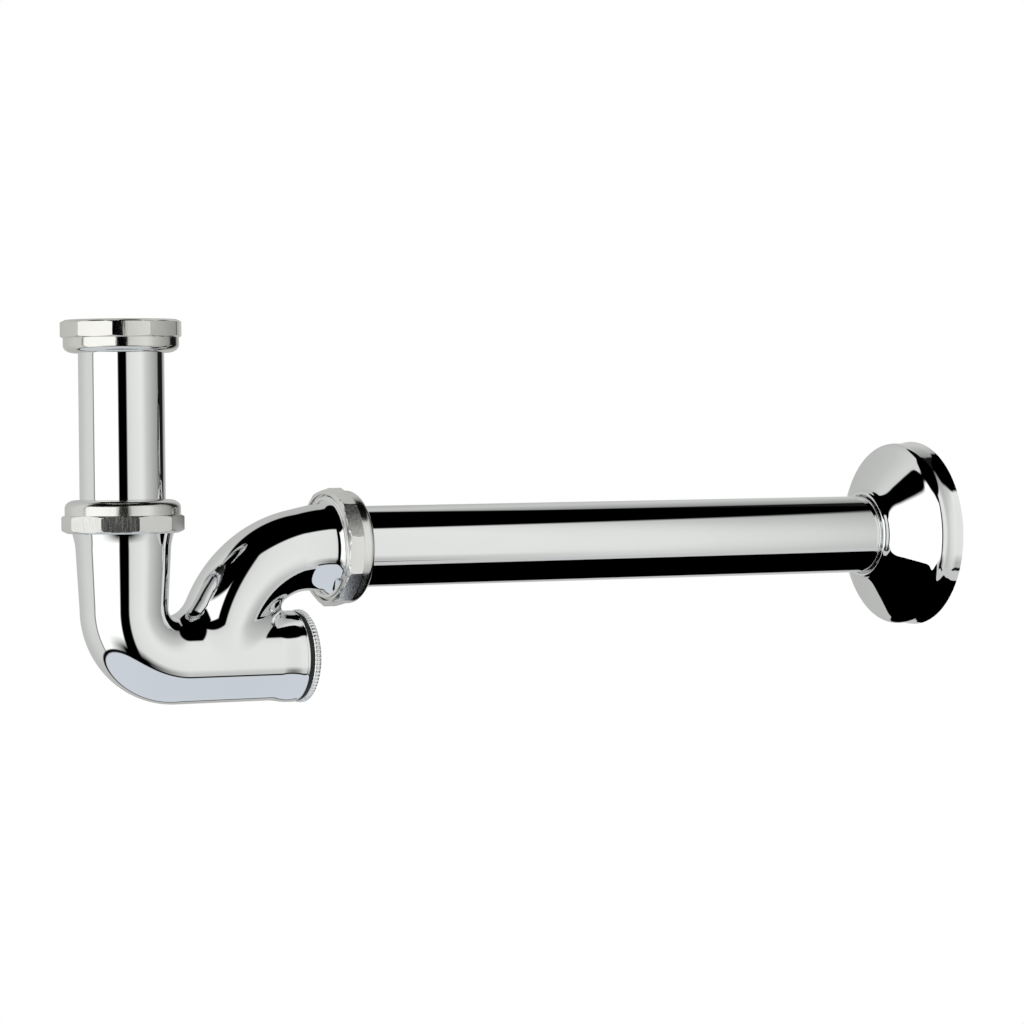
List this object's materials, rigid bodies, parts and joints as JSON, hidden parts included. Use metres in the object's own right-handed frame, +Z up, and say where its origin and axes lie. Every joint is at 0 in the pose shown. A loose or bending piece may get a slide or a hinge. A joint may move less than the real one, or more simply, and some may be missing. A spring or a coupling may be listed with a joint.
{
  "type": "u trap",
  "caption": "Chromed tubular basin trap with a U-shaped body, screw-in clean-out plug, union nuts, inlet tube, long wall tube and wall rosette.",
  "frame": {"origin": "centre of the inlet, on the top of the inlet gasket where the basin waste seats", "axes": "+Z up along the inlet axis, +X along the wall tube towards the wall, +Y to the left when facing the wall"},
  "size_m": [0.395, 0.0774, 0.1498],
  "materials": {
    "chrome_plate": "mirror-polished chrome plate on brass tube",
    "nut_plate": "chrome plate on machined brass nuts, faint tool marks",
    "rubber": "matt black moulded rubber",
    "slip_plastic": "smooth white plastic"
  },
  "bodies": {
    "inlet": {"inlet_tube": "chrome_plate", "inlet_gasket": "rubber"},
    "inlet_nut": {"inlet_nut": "nut_plate"},
    "socket_seal": {"socket_seal": "rubber"},
    "trap": {"trap_body": "chrome_plate"},
    "socket_washer": {"socket_slip_washer": "slip_plastic"},
    "socket_nut": {"socket_nut": "nut_plate"},
    "outlet_seal": {"outlet_seal": "rubber"},
    "wall_tube": {"wall_tube": "chrome_plate"},
    "outlet_washer": {"outlet_slip_washer": "slip_plastic"},
    "outlet_nut": {"outlet_nut": "nut_plate"},
    "rosette": {"wall_rosette": "chrome_plate"},
    "plug_gasket": {"plug_gasket": "rubber"},
    "plug": {"cleanout_plug": "chrome_plate"}
  },
  "joints": [
    {"name": "inlet_nut_spin", "type": "hinge", "parent": "inlet", "child": "inlet_nut", "pos_m": [0, 0, 0], "axis": [0, 0, 1], "continuous": true},
    {"name": "height_slide", "type": "slide", "parent": "inlet", "child": "socket_seal", "axis": [0, 0, 1], "range_m": [-0.008, 0.009]},
    {"name": "trap_swivel", "type": "hinge", "parent": "socket_seal", "child": "trap", "pos_m": [0, 0, 0], "axis": [0, 0, 1], "continuous": true},
    {"name": "socket_nut_travel", "type": "slide", "parent": "trap", "child": "socket_washer", "axis": [0, 0, 1], "range_m": [0, 0.007]},
    {"name": "socket_nut_turn", "type": "hinge", "parent": "socket_washer", "child": "socket_nut", "pos_m": [0, 0, 0], "axis": [0, 0, 1], "range_deg": [0, 1080]},
    {"name": "outlet_swivel", "type": "hinge", "parent": "trap", "child": "outlet_seal", "pos_m": [0, 0, -0.083], "axis": [1, 0, 0], "continuous": true},
    {"name": "wall_tube_slide", "type": "slide", "parent": "outlet_seal", "child": "wall_tube", "axis": [1, 0, 0], "range_m": [0, 0.008]},
    {"name": "outlet_nut_travel", "type": "slide", "parent": "trap", "child": "outlet_washer", "axis": [1, 0, 0], "range_m": [0, 0.007]},
    {"name": "outlet_nut_turn", "type": "hinge", "parent": "outlet_washer", "child": "outlet_nut", "pos_m": [0, 0, -0.083], "axis": [1, 0, 0], "range_deg": [0, 1080]},
    {"name": "rosette_slide", "type": "slide", "parent": "wall_tube", "child": "rosette", "axis": [1, 0, 0], "range_m": [-0.215, 0]},
    {"name": "plug_travel", "type": "slide", "parent": "trap", "child": "plug_gasket", "axis": [1, 0, 0], "range_m": [0, 0.0076]},
    {"name": "plug_turn", "type": "hinge", "parent": "plug_gasket", "child": "plug", "pos_m": [0, 0, -0.1253], "axis": [1, 0, 0], "range_deg": [0, 1800]}
  ],
  "couplings": [
    {"joint": "socket_nut_travel", "follows": "socket_nut_turn", "m_per_rad": 0.00036751},
    {"joint": "outlet_nut_travel", "follows": "outlet_nut_turn", "m_per_rad": 0.00036751},
    {"joint": "plug_travel", "follows": "plug_turn", "m_per_rad": 0.00023873}
  ]
}
